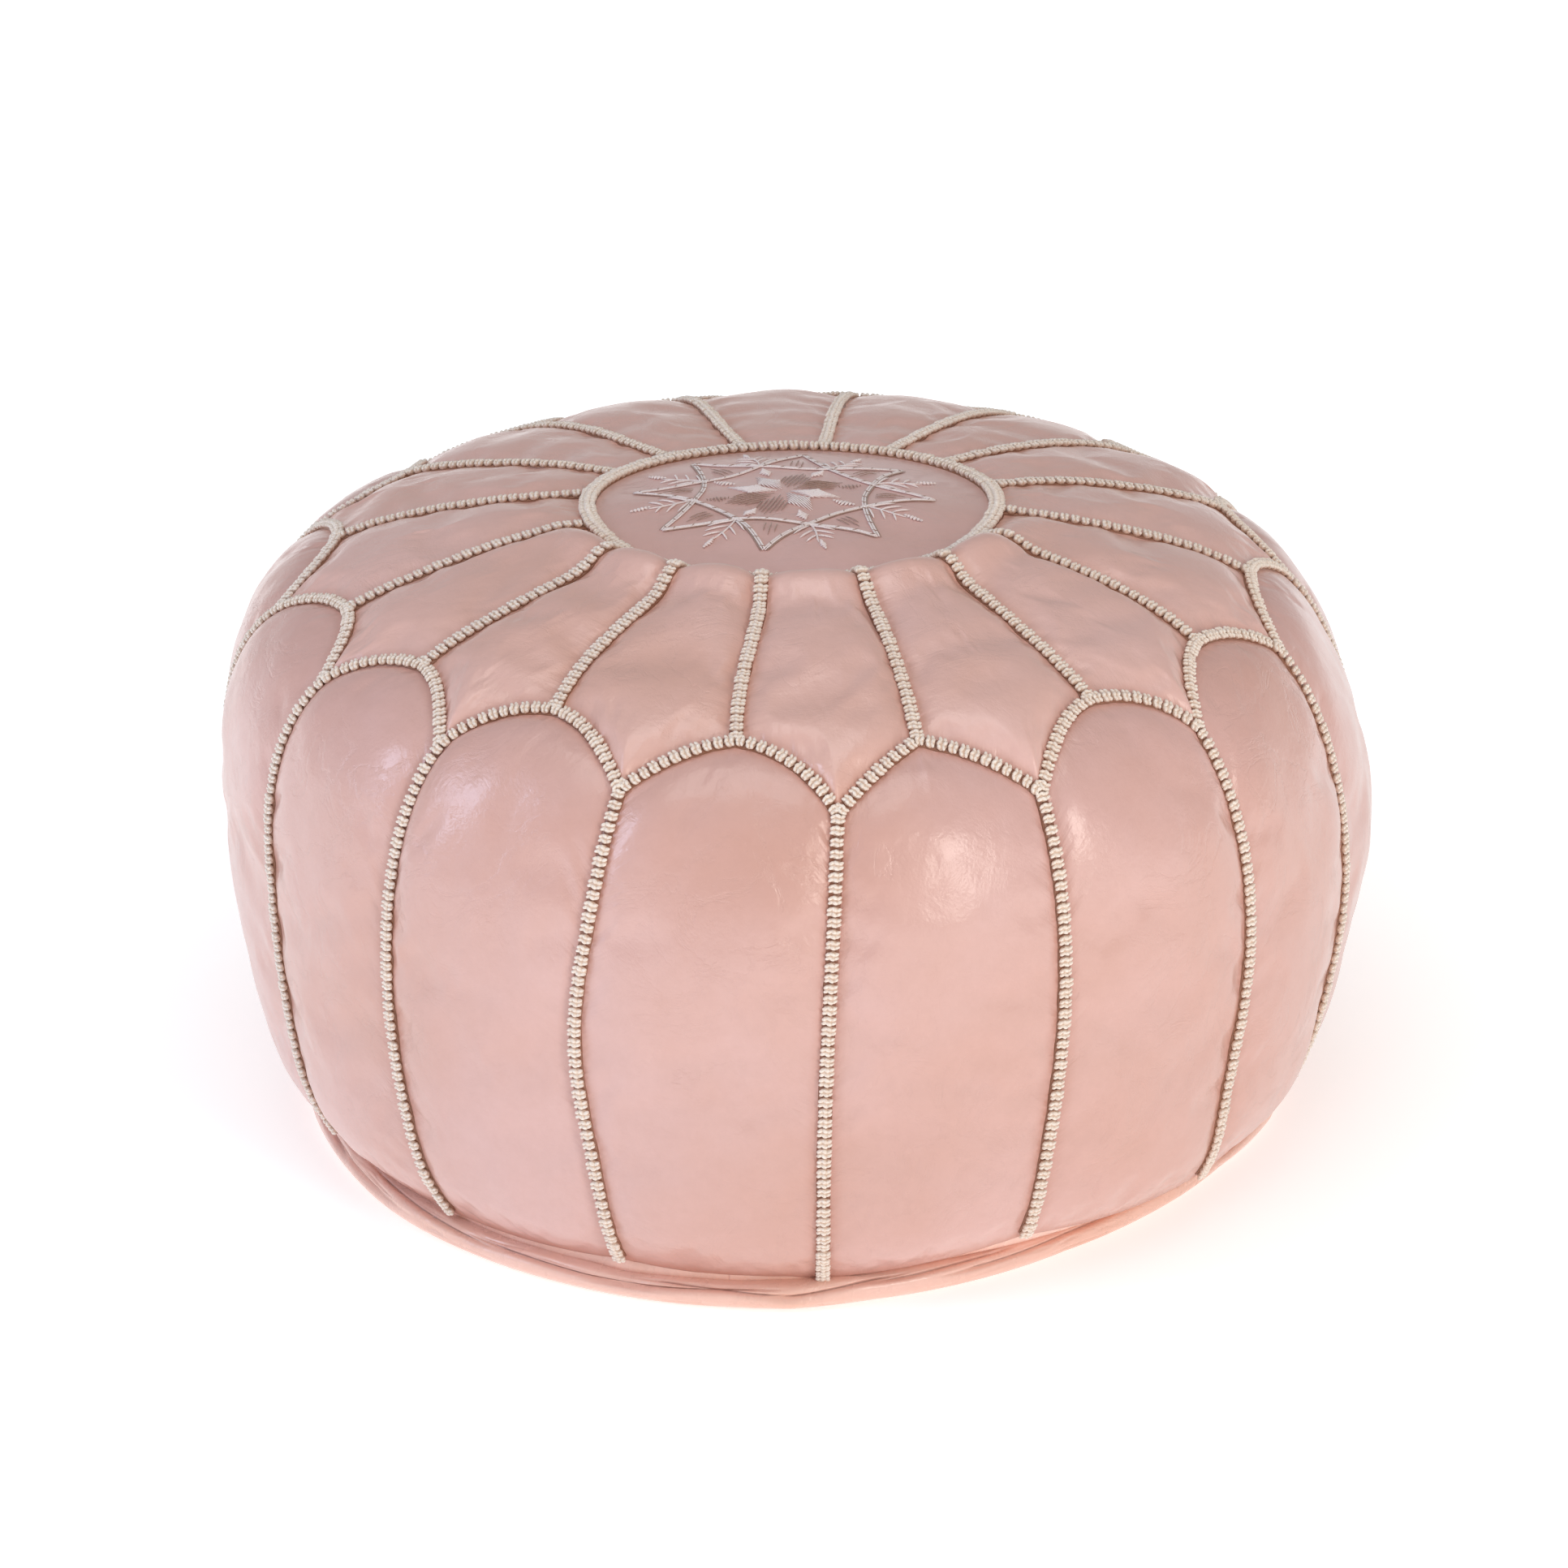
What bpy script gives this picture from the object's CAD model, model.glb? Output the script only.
"""The looks of the leather pouf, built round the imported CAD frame.

Shapes are worked out in millimetres, in the frame's axes, and turned into metres when a mesh is made. A place
on the cover is a bearing in degrees, from the front (-Y) towards the right (+X), and a run: the distance in
millimetres down the cover's half section, from the middle of the crown.
"""

import math

import bpy
import numpy as np
from mathutils import Matrix, Vector


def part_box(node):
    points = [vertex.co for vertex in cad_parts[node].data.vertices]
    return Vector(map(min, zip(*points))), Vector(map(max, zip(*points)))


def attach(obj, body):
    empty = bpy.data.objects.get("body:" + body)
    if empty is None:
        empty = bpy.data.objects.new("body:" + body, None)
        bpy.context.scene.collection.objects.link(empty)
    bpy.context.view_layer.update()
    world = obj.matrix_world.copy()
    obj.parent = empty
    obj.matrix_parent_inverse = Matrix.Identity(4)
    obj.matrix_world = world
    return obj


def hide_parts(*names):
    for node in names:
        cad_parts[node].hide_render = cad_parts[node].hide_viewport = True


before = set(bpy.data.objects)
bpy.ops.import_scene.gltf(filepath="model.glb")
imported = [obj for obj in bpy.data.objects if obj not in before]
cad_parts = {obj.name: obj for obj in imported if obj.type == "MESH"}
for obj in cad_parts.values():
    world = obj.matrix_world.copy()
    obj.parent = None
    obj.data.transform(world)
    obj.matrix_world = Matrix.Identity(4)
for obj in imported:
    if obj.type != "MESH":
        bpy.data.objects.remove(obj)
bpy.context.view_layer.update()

MM = 0.001
SEAMS = 16
SECTOR = 360 / SEAMS

# Sizes taken from the frame
RING_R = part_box("medallion")[1].x / MM
RIM_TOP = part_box("base_rim_band")[1].z / MM

# The surface that the seams lie in: radius and height down the half section
RING_SEAM = (RING_R, 285)
CREST = (128, 282)
UPPER = (170, 273)
ARCH_TOP = (213.4, 258)
ARCH_FOOT = (239, 240.4)
SHOULDER = (261.5, 195)
WAIST = (267, 136)
LOWER_SIDE = (262.5, 70)
BELLY = (254.5, 36)
FOOT = (242, 14)
TUCK = (234, 2)
SECTION = [RING_SEAM, CREST, UPPER, ARCH_TOP, ARCH_FOOT, SHOULDER, WAIST, LOWER_SIDE, BELLY, FOOT, TUCK]

# The filling has settled unevenly. Seen from this bearing, the crown is higher in front and lower behind, the
# shoulder bulges to the left, and the foot comes forward and is narrower from side to side
FACING = 7.5
FACING_COS = math.cos(math.radians(FACING))
FACING_SIN = math.sin(math.radians(FACING))
CROWN_FRONT = 3
CROWN_BACK = 9
SHOULDER_LEFT = 6
WAIST_RIGHT = 3
FOOT_FORWARD = 9
FOOT_NARROW = 0.03

# In front, the petals are pushed up into a crest that hides the medallion's ring: its height, how far below
# the ring it runs and how wide it is, how far the ring is sunk behind it, and the angles from the front at
# which it has gone and at which it is full
CREST_LIFT = 7.5
CREST_RUN = 15
CREST_WIDTH = 11
RING_SINK = 4
CREST_FADE = (85, 45)

# Hand-sewn unevenness, by seam number: how far to the right the seams meet the ring, and for the other places
# how far to the right and how far down
RING_SHIFT = (-1, 2, 3, 5, 3, 2, 8, 3, -3, -2, -1, -3, -6, 1, 4, 1)
TOP_SHIFT = {0: (3, 1), 1: (-2, 4), 2: (3, 2), 3: (2, 1), 4: (11, 6), 5: (10, 9), 12: (4, -3), 13: (12, -4),
             14: (5, -4), 15: (1, -4)}
POINT_SHIFT = {0: (3, 6), 1: (1, 7), 2: (3, 4), 3: (4, 0), 12: (13, -7), 13: (8, -5), 14: (4, -3),
               15: (2, -1)}
FOOT_SHIFT = {0: (-4, 4), 1: (-6, -12), 2: (14, 0), 13: (-4, -2), 14: (-2, 0), 15: (-3, -2)}

# How far to the right a side seam wanders at a quarter, a half and three quarters of the way down
SEAM_WANDER = {0: (-1, -4, -5), 1: (1, -1, -4), 2: (5, 2, 0), 13: (1, -1, -4), 14: (-4, -9, -8),
               15: (-5, -12, -7)}

# How round the left and right half of an arch is, in degrees of arc, and how straight it runs instead, 0 to 1
ARCH_ROUND = {0: (24, 62), 1: (22, 34), 2: (32, 66), 14: (64, 36), 15: (62, 28)}
ARCH_PEAK = {0: (0.3, 0.2), 1: (0.65, 0.5)}

# Grids of the leather pieces
ACROSS = 24
SIDE_ROWS = 46
PETAL_ROWS = 26
LEATHER = 1.4

# How far the stuffing pushes the leather out between its seams
SEAM_FLAT = 2.6
SIDE_PUFF = 3.6
SIDE_ROUND = 9
PETAL_PUFF = (2.0, 6.0)
PETAL_ROUND = 7
MEDALLION_PUFF = 2.4
MEDALLION_DOME = 3.6

# How far gathers reach from the left, right, top and bottom seam of a panel
SIDE_GATHERS = (14, 14, 30, 12)
PETAL_GATHERS = (12, 12, 12, 18)

# Cloth simulation of the leather: frames, the most that a point may move, and the settings
SIM_FRAMES = 22
SIM_CAP = 4
CLOTH = {"quality": 6, "mass": 0.3, "air_damping": 6, "tension_stiffness": 25, "compression_stiffness": 25,
         "shear_stiffness": 15, "bending_stiffness": 0.4, "tension_damping": 15, "compression_damping": 15,
         "pin_stiffness": 1, "shrink_min": -0.008, "use_pressure": True, "uniform_pressure_force": 0.8}

# Braid: one cross stitch is a lump of six thread strands over a core
PITCH = 5
BRAID_W = 6.6
BRAID_H = 2.6
STRAND = (1.5, 0.92, 1.05)
STRAND_SLANT = 24

rng = np.random.default_rng


# ---- Curves and surfaces

def natural_spline(knots, values, at):
    """Values at places along the smooth curve through the given values at the knots."""
    knots = np.asarray(knots, float)
    values = np.asarray(values, float)
    count = len(knots)
    step = np.diff(knots)
    system = np.eye(count)
    right = np.zeros(values.shape)
    for i in range(1, count - 1):
        system[i, i - 1:i + 2] = step[i - 1], 2 * (step[i - 1] + step[i]), step[i]
        right[i] = 6 * ((values[i + 1] - values[i]) / step[i] - (values[i] - values[i - 1]) / step[i - 1])
    bend = np.linalg.solve(system, right)
    at = np.asarray(at, float)
    i = np.clip(np.searchsorted(knots, at) - 1, 0, count - 2)
    h = step[i]
    a = (knots[i + 1] - at) / h
    b = (at - knots[i]) / h
    if values.ndim > 1:
        h, a, b = h[..., None], a[..., None], b[..., None]
    bent = (a ** 3 - a) * bend[i] + (b ** 3 - b) * bend[i + 1]
    return a * values[i] + b * values[i + 1] + bent * h * h / 6


def half_section():
    """Fine samples of the half section: run, radius and height, and the run of each of its given points."""
    crown = [(-r, z) for r, z in (CREST, RING_SEAM)]
    points = np.array(crown + SECTION, float)
    knots = np.r_[0, np.cumsum(np.linalg.norm(np.diff(points, axis=0), axis=1))]
    at = np.linspace(0, knots[-1], 6000)
    line = natural_spline(knots, points, at)
    run = np.r_[0, np.cumsum(np.linalg.norm(np.diff(line, axis=0), axis=1))]
    run = run - np.interp(0, line[:, 0], run)
    keep = run >= 0
    return run[keep], line[keep, 0], line[keep, 1], np.interp(knots, at, run)[len(crown):]


RUNS, RADII, HEIGHTS, RUN_OF = half_section()
RUN_RING = RUN_OF[SECTION.index(RING_SEAM)]
RUN_TOP = RUN_OF[SECTION.index(ARCH_TOP)]
RUN_POINT = RUN_OF[SECTION.index(ARCH_FOOT)]
RUN_WAIST = RUN_OF[SECTION.index(WAIST)]
RUN_FOOT = RUN_OF[SECTION.index(FOOT)]


def smoothstep(low, high, x):
    t = np.clip((x - low) / (high - low), 0, 1)
    return t * t * (3 - 2 * t)


def crown_lean(forward):
    """How much higher the crown is at a distance towards the front, where 1 is the medallion's ring."""
    mean, half = (CROWN_FRONT + CROWN_BACK) / 2, (CROWN_BACK - CROWN_FRONT) / 2
    return mean * forward - half * np.sqrt(forward ** 2 + 0.05)


def front_crest(bearing, run):
    """The crest in front of the medallion's ring, and the hollow that the ring lies in behind it."""
    away = np.abs((bearing - FACING + 180) % 360 - 180)
    crest = CREST_LIFT * np.exp(-((run - RUN_RING - CREST_RUN) / CREST_WIDTH) ** 2)
    hollow = RING_SINK * np.exp(-((run - RUN_RING) / CREST_WIDTH) ** 2)
    return (crest - hollow) * smoothstep(*CREST_FADE, away)


def skin(bearing, run):
    """Points of the surface that the seams lie in."""
    bearing, run = np.broadcast_arrays(np.asarray(bearing, float), np.asarray(run, float))
    r = np.interp(run, RUNS, RADII)
    z = np.interp(run, RUNS, HEIGHTS)
    turn = np.radians(bearing - FACING)
    facing = np.cos(turn)
    z = z + crown_lean(facing * np.minimum(r / RING_R, 1)) * (1 - smoothstep(RUN_RING, RUN_TOP, run))
    z = z + front_crest(bearing, run)
    lower = smoothstep(RUN_WAIST, RUN_FOOT, run)
    upper = smoothstep(RUN_RING, RUN_POINT, run) * (1 - smoothstep(RUN_POINT, RUN_WAIST, run))
    x = r * np.sin(turn) * (1 - FOOT_NARROW * lower)
    middle = np.exp(-((run - RUN_WAIST - 30) / 55) ** 2)
    x = x + (WAIST_RIGHT * middle - SHOULDER_LEFT * upper) * np.sin(turn) ** 2
    y = -r * facing - FOOT_FORWARD * lower
    return np.stack([x * FACING_COS - y * FACING_SIN, x * FACING_SIN + y * FACING_COS, z], -1)


def unit(v):
    return v / np.maximum(np.linalg.norm(v, axis=-1, keepdims=True), 1e-9)


def outward(bearing, run):
    """Outward normals of that surface."""
    right = skin(bearing + 0.4, run) - skin(bearing - 0.4, run)
    down = skin(bearing, run + 0.6) - skin(bearing, run - 0.6)
    return unit(np.cross(down, right))


def waves(points, seed, wavelength, count=14):
    """Smooth uneven height, about -1 to 1, at points in millimetres."""
    draw = rng(seed)
    total = np.zeros(points.shape[:-1])
    for _ in range(count):
        way = unit(draw.normal(size=3))
        length = wavelength * draw.uniform(0.6, 1.7)
        total += np.cos(points @ way * (2 * math.pi / length) + draw.uniform(0, 2 * math.pi))
    return total / math.sqrt(count)


# ---- Where the seams run

def shift_of(table, seam, seed, size):
    """The sideways and downward shift at a seam: chosen by hand, or small and random round the back."""
    if seam % SEAMS in table:
        return table[seam % SEAMS]
    return tuple(rng([seed, seam % SEAMS]).uniform(-size, size, 2))


def peak_of(seam, side):
    return ARCH_PEAK.get(seam % SEAMS, (0.08, 0.08))[side > 0]


def place(seam, run, shift):
    """Bearing and run of a seam's point after its shift."""
    radius = np.interp(run, RUNS, RADII)
    return np.array([seam * SECTOR + math.degrees(shift[0] / radius), run + shift[1]])


def ring_end(seam):
    return place(seam, RUN_RING, (RING_SHIFT[seam % SEAMS], 0))


def arch_top(seam):
    return place(seam, RUN_TOP, shift_of(TOP_SHIFT, seam, 2, 4))


def arch_point(seam):
    """Where two arches meet, halfway to the next seam."""
    return place(seam + 0.5, RUN_POINT, shift_of(POINT_SHIFT, seam, 3, 4))


def foot_point(seam):
    return place(seam + 0.5, RUN_FOOT, shift_of(FOOT_SHIFT, seam, 4, 4))


def radial_seam(seam, t):
    """From the medallion's ring to the top of an arch."""
    a, b = ring_end(seam), arch_top(seam)
    sway = shift_of({}, seam, 5, 2.2)
    line = a + (b - a) * t[:, None]
    radius = np.interp(line[:, 1], RUNS, RADII)
    line[:, 0] += np.degrees((sway[0] * np.sin(math.pi * t) + sway[1] * np.sin(2 * math.pi * t)) / radius)
    return line


def half_arch(seam, side, t):
    """From the top of an arch to the point on its left (-1) or right (1)."""
    a = arch_top(seam)
    b = arch_point(seam if side > 0 else seam - 1)
    turn = math.radians(ARCH_ROUND.get(seam % SEAMS, (56, 56))[side > 0])
    out = np.sin(turn * t) / math.sin(turn)
    down = (1 - np.cos(turn * t)) / (1 - math.cos(turn))
    down = down + (t - down) * peak_of(seam, side)
    return np.stack([a[0] + (b[0] - a[0]) * out, a[1] + (b[1] - a[1]) * down], -1)


def side_seam(seam, t):
    """From the point between two arches down to the rim band."""
    a, b = arch_point(seam), foot_point(seam)
    wander = SEAM_WANDER.get(seam % SEAMS)
    if wander is None:
        wander = rng([6, seam % SEAMS]).uniform(-4.5, 4.5, 3)
    middle = (seam + 0.5) * SECTOR
    runs = a[1] + (b[1] - a[1]) * t
    radius = np.interp(runs, RUNS, RADII)
    ends = [math.radians(p[0] - middle) * np.interp(p[1], RUNS, RADII) for p in (a, b)]
    aside = natural_spline([0, 0.25, 0.5, 0.75, 1], [ends[0], *wander, ends[1]], t)
    return np.stack([middle + np.degrees(aside / radius), runs], -1)


def foot_edge(seam, t):
    """The lower edge of a side panel, from its left seam to its right seam."""
    a, b = foot_point(seam - 1), foot_point(seam)
    line = a + (b - a) * t[:, None]
    line[:, 1] += 1.5 * np.sin(math.pi * t)
    return line


def ring_edge(seam, t):
    """The medallion's ring from one radial seam to the next."""
    a, b = ring_end(seam), ring_end(seam + 1)
    return a + (b - a) * t[:, None]


# ---- Leather panels

def crowded(count):
    """Steps from 0 to 1, closer together near both ends."""
    t = np.linspace(0, 1, count + 1)
    return 0.5 * t + 0.25 * (1 - np.cos(math.pi * t))


def patch(top, bottom, left, right, u, v):
    """Grid that fills four edges, each a row of bearing and run."""
    u = u[None, :, None]
    v = v[:, None, None]
    rows = (1 - v) * top[None] + v * bottom[None] + (1 - u) * left[:, None] + u * right[:, None]
    corners = (1 - v) * ((1 - u) * top[0] + u * top[-1]) + v * ((1 - u) * bottom[0] + u * bottom[-1])
    return rows - corners


def rise(distance, reach):
    """From 0 at a seam to 1 where the leather stands fully out."""
    x = np.maximum(distance - SEAM_FLAT, 0) / reach
    return 1 - np.exp(-x * x / (x + 0.5))


def distances(points):
    """Distance of each grid point to the left, right, top and bottom edge of its own row or column."""
    sides = [points[:, :1], points[:, -1:], points[:1], points[-1:]]
    return [np.linalg.norm(points - edge, axis=-1) for edge in sides]


def side_grid(seam):
    """The panel under the arch of a seam: its points, and how near they are to a seam."""
    half = ACROSS // 2
    t = crowded(half)
    left = half_arch(seam, -1, t)[::-1]
    top = np.concatenate([left, half_arch(seam, 1, t)[1:]])
    v = crowded(SIDE_ROWS)
    u = np.concatenate([0.5 - 0.5 * t[::-1], 0.5 + 0.5 * t[1:]])
    grid = patch(top, foot_edge(seam, u), side_seam(seam - 1, v), side_seam(seam, v), u, v)
    flat = skin(grid[..., 0], grid[..., 1])
    near = distances(flat)
    full = np.prod([rise(d, SIDE_ROUND) for d in near[:3]], axis=0) * rise(near[3], 5)
    lower = smoothstep(RUN_POINT, RUN_FOOT, grid[..., 1])
    size = SIDE_PUFF * (1.25 - 0.4 * lower) * rng([7, seam % SEAMS]).uniform(0.88, 1.12)
    uneven = (1.1 * waves(flat, [8, seam % SEAMS], 95) + 0.35 * waves(flat, [14, seam % SEAMS], 32)) * full
    return flat + outward(grid[..., 0], grid[..., 1]) * (size * full + uneven)[..., None], near


def petal_grid(seam):
    """The petal between a radial seam and the next."""
    half = ACROSS // 2
    t = crowded(half)
    outer_left = half_arch(seam, 1, t)
    outer_right = half_arch(seam + 1, -1, t)[::-1]
    outer = np.concatenate([outer_left, outer_right[1:]])
    u = np.concatenate([0.5 * t, 0.5 + 0.5 * (1 - t[::-1])[1:]])
    v = crowded(PETAL_ROWS)
    grid = patch(ring_edge(seam, u), outer, radial_seam(seam, v), radial_seam(seam + 1, v), u, v)
    flat = skin(grid[..., 0], grid[..., 1])
    near = distances(flat)
    full = np.prod([rise(d, PETAL_ROUND) for d in near], axis=0) ** 0.8
    facing = 0.5 + 0.5 * np.cos(np.radians(grid[..., 0] - FACING))
    size = PETAL_PUFF[0] + (PETAL_PUFF[1] - PETAL_PUFF[0]) * facing
    size = size * rng([9, seam % SEAMS]).uniform(0.9, 1.1)
    uneven = (1.0 * waves(flat, [10, seam % SEAMS], 80) + 0.3 * waves(flat, [15, seam % SEAMS], 30)) * full
    return flat + outward(grid[..., 0], grid[..., 1]) * (size * full + uneven)[..., None], near


def grid_faces(rows, columns, start=0):
    """Quads of a grid of points, facing outwards."""
    i = np.arange(rows - 1)[:, None] * columns + np.arange(columns - 1)[None] + start
    return np.stack([i, i + columns, i + columns + 1, i + 1], -1).reshape(-1, 4)


def tube_faces(rings, around, closed=False):
    """Quads between closed rings of points, and from the last ring to the first if that is closed too."""
    i = np.arange(rings if closed else rings - 1)[:, None] * around
    after = (i + around) % (rings * around)
    j = np.arange(around)[None]
    k = (j + 1) % around
    return np.stack([i + j, after + j, after + k, i + k], -1).reshape(-1, 4)


def edge_mask(rows, columns):
    """The points of a grid that are sewn down: its edges and the row beside each."""
    mask = np.ones((rows, columns), bool)
    mask[2:-2, 2:-2] = False
    return mask


def inflate(grids):
    """Cloth simulation: the leather swells between its seams, which are held. Returns the settled grids."""
    starts = np.r_[0, np.cumsum([g.shape[0] * g.shape[1] for g in grids])]
    points = np.concatenate([g.reshape(-1, 3) for g in grids]) * MM
    faces = np.concatenate([grid_faces(g.shape[0], g.shape[1], s) for g, s in zip(grids, starts)])
    held = np.concatenate([edge_mask(*g.shape[:2]).ravel() for g in grids])
    mesh = bpy.data.meshes.new("leather_skins")
    mesh.from_pydata(points.tolist(), [], faces.tolist())
    skins = linked("leather_skins", mesh)
    seams = skins.vertex_groups.new(name="seams")
    seams.add(np.flatnonzero(held).tolist(), 1, "REPLACE")
    cloth = skins.modifiers.new("Cloth", "CLOTH")
    for name, value in CLOTH.items():
        setattr(cloth.settings, name, value)
    cloth.settings.vertex_group_mass = "seams"
    cloth.settings.effector_weights.gravity = 0
    cloth.collision_settings.use_collision = False
    cloth.point_cache.frame_end = SIM_FRAMES
    for number in range(1, SIM_FRAMES + 1):
        bpy.context.scene.frame_set(number)
    settled = skins.evaluated_get(bpy.context.evaluated_depsgraph_get())
    found = np.empty(len(points) * 3, np.float32)
    settled.data.vertices.foreach_get("co", found)
    bpy.context.scene.frame_set(1)
    bpy.data.objects.remove(skins)
    bpy.data.meshes.remove(mesh)
    moved = (found.reshape(-1, 3) - points) / MM
    moved *= SIM_CAP / (SIM_CAP + np.linalg.norm(moved, axis=1, keepdims=True))
    moved = points / MM + moved
    return [moved[s:s + g.shape[0] * g.shape[1]].reshape(g.shape) for g, s in zip(grids, starts)]


def refine(values):
    """Halves the steps of a grid of values, smoothly."""
    for axis in (0, 1):
        values = np.moveaxis(values, axis, 0)
        count = len(values)
        halves = np.linspace(0, count - 1, 2 * count - 1)
        flat = natural_spline(np.arange(count), values.reshape(count, -1), halves)
        values = np.moveaxis(flat.reshape(2 * count - 1, *values.shape[1:]), 0, axis)
    return values


def run_along(grid, axis):
    """Length travelled along the rows or columns of a grid of points."""
    steps = np.linalg.norm(np.diff(grid, axis=axis), axis=-1)
    return np.cumsum(np.insert(steps, 0, 0, axis=axis), axis=axis)


def puckers(grid, near, reaches, seed):
    """Short gathers pressed into the leather where it meets its seams, as a height at each grid point."""
    draw = rng(seed)
    down, across = run_along(grid, 0), run_along(grid, 1)
    total = np.zeros(grid.shape[:2])
    for distance, where, reach in zip(near, (down, down, across, across), reaches):
        at = draw.uniform(2, 7)
        while at < where.max():
            slope, width = draw.uniform(-0.5, 0.5), draw.uniform(1.3, 2.8)
            line = (where - at - slope * distance) / width
            fade = np.exp(-(distance / (reach * draw.uniform(0.35, 1.2))) ** 2)
            fade = fade * smoothstep(1.5, 4.5, distance)
            total -= draw.uniform(0.08, 0.5) * np.exp(-line ** 2) * fade
            at += draw.uniform(4, 13)
    return total


def detailed(grid, near, reaches, seed):
    """A finer grid with its gathers, and its distances to the seams."""
    grid = refine(grid)
    near = [refine(d) for d in near]
    normals = unit(np.cross(np.gradient(grid, axis=0), np.gradient(grid, axis=1)))
    return grid + normals * puckers(grid, near, reaches, seed)[..., None], near


# ---- Making pieces

def linked(name, data):
    made = bpy.data.objects.new(name, data)
    bpy.context.collection.objects.link(made)
    return made


def make_object(name, points, faces, materials, chosen=None):
    """A smooth-shaded mesh object from points in millimetres."""
    mesh = bpy.data.meshes.new(name)
    points = np.asarray(points, float).reshape(-1, 3) * MM
    mesh.from_pydata(points.tolist(), [], [list(map(int, f)) for f in faces])
    for material in materials:
        mesh.materials.append(material)
    if chosen is not None:
        mesh.polygons.foreach_set("material_index", np.asarray(chosen, np.int32))
    mesh.polygons.foreach_set("use_smooth", np.ones(len(mesh.polygons), bool))
    mesh.update()
    return linked(name, mesh)


def finish_piece(made, nodes=()):
    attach(made, "cover")
    if nodes:
        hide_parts(*nodes)


def point_value(made, name, values):
    attribute = made.data.attributes.new(name, "FLOAT", "POINT")
    attribute.data.foreach_set("value", np.asarray(values, np.float32).ravel())


def cut_map(made, u, v):
    """A UV map in metres, as the leather was cut."""
    layer = made.data.uv_layers.new(name="cut")
    corners = np.empty(len(made.data.loops), np.int32)
    made.data.loops.foreach_get("vertex_index", corners)
    flat = np.stack([np.asarray(u).ravel(), np.asarray(v).ravel()], -1)[corners] * MM
    layer.data.foreach_set("uv", flat.astype(np.float32).ravel())


def thicken(made, smoothed=True):
    """Gives a single skin the leather's thickness, inwards, after subdividing it if it is to be smoothed."""
    if smoothed:
        smooth = made.modifiers.new("smooth", "SUBSURF")
        smooth.levels = 1
        smooth.render_levels = 1
        smooth.boundary_smooth = "PRESERVE_CORNERS"
    solid = made.modifiers.new("thickness", "SOLIDIFY")
    solid.thickness = LEATHER * MM
    solid.offset = -1


def leather_panel(node, grid, near, material):
    """The skin that replaces a side panel or a petal."""
    made = make_object(node + "_leather", grid, grid_faces(*grid.shape[:2]), [material])
    point_value(made, "beside", np.exp(-np.minimum(near[0], near[1]) / 9))
    point_value(made, "beyond", np.exp(-np.minimum(near[2], near[3]) / 9))
    cut_map(made, near[0], near[2])
    thicken(made)
    finish_piece(made, [node])


# ---- Materials

def linear(red, green, blue):
    """A display colour, 0 to 255, as a linear one."""
    values = []
    for c in (red, green, blue):
        c = c / 255
        values.append(c / 12.92 if c <= 0.04045 else ((c + 0.055) / 1.055) ** 2.4)
    return (*values, 1)


class Tree:
    """The node tree of a material or of the world, and the nodes that it is built from."""

    def __init__(self, tree):
        self.nodes = tree.nodes
        self.links = tree.links

    def feed(self, node, inputs):
        """Sets inputs of a node, by name or number, to a value or to another node's output."""
        for key, value in inputs.items():
            if isinstance(value, bpy.types.NodeSocket):
                self.links.new(value, node.inputs[key])
            else:
                node.inputs[key].default_value = value

    def add(self, kind, inputs=None, **settings):
        node = self.nodes.new("ShaderNode" + kind)
        for name, value in settings.items():
            setattr(node, name, value)
        self.feed(node, inputs or {})
        return node

    def place(self, space="Object"):
        return self.add("TexCoord").outputs[space]

    def value(self, name):
        """A mesh's own value at each point."""
        return self.add("Attribute", attribute_name=name).outputs["Fac"]

    def mix(self, factor, a, b):
        return self.add("Mix", {0: factor, 6: a, 7: b}, data_type="RGBA").outputs[2]

    def calc(self, operation, a, b=0.0):
        return self.add("Math", {0: a, 1: b}, operation=operation).outputs[0]

    def ramp(self, value, *stops):
        """Greys from black to white, by stops of (place, grey)."""
        node = self.add("ValToRGB", {0: value})
        elements = node.color_ramp.elements
        while len(elements) < len(stops):
            elements.new(0.5)
        for element, (where, grey) in zip(elements, stops):
            element.position = where
            element.color = (grey, grey, grey, 1)
        return node.outputs[0]

    def noise(self, at, scale, detail=3, roughness=0.5, stretch=None, distortion=0):
        if stretch is not None:
            at = self.add("Mapping", {"Scale": stretch, "Vector": at}).outputs[0]
        inputs = {"Vector": at, "Scale": scale, "Detail": detail, "Roughness": roughness}
        return self.add("TexNoise", {**inputs, "Distortion": distortion}).outputs["Fac"]

    def bump(self, height, strength, distance, under=None):
        node = self.add("Bump", {"Strength": strength, "Distance": distance, "Height": height})
        if under is not None:
            self.feed(node, {"Normal": under})
        return node.outputs[0]


def new_material(name):
    material = bpy.data.materials.new(name)
    material.use_nodes = True
    return material, Tree(material.node_tree), material.node_tree.nodes["Principled BSDF"]


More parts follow.
